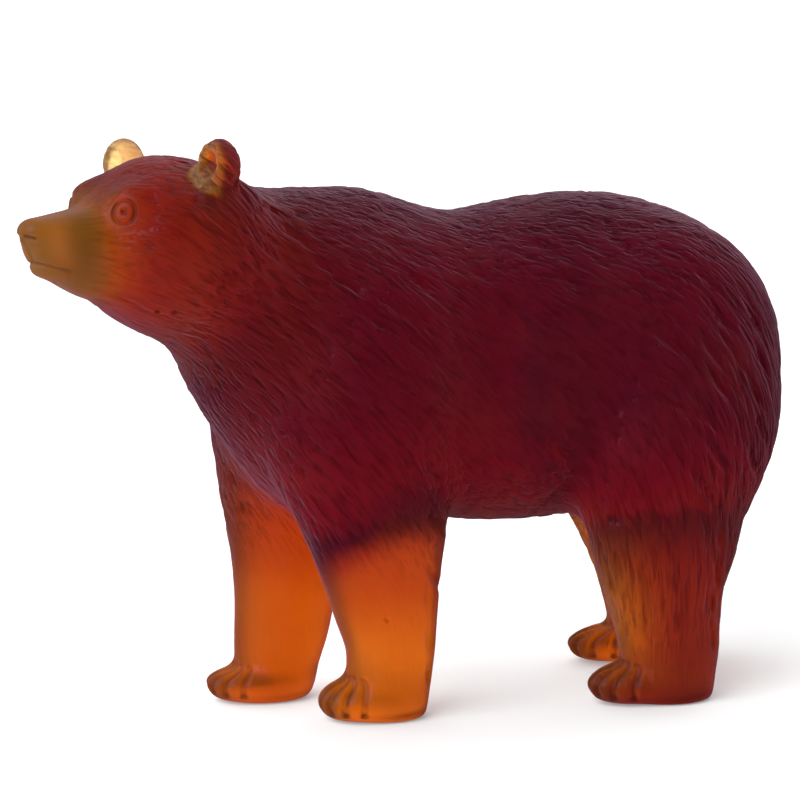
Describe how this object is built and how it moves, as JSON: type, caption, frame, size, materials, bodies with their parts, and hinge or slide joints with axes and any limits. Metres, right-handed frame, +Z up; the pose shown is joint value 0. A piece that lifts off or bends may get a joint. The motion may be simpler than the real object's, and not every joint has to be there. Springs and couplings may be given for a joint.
{
  "type": "crystal bear sculpture",
  "caption": "Solid cast crystal sculpture of a walking bear with its head raised and turned a little to its left, amber shading to burgundy, standing on the flat soles of its paws.",
  "frame": {"origin": "on the ground under the middle of the bear's bounding box", "axes": "+Z up; the bear walks towards -X with its left flank towards -Y, so +X runs from nose to rump"},
  "size_m": [0.24, 0.0782, 0.1664],
  "materials": {
    "crystal": "satin"
  },
  "bodies": {
    "root": {"bear": "crystal"}
  },
  "joints": []
}
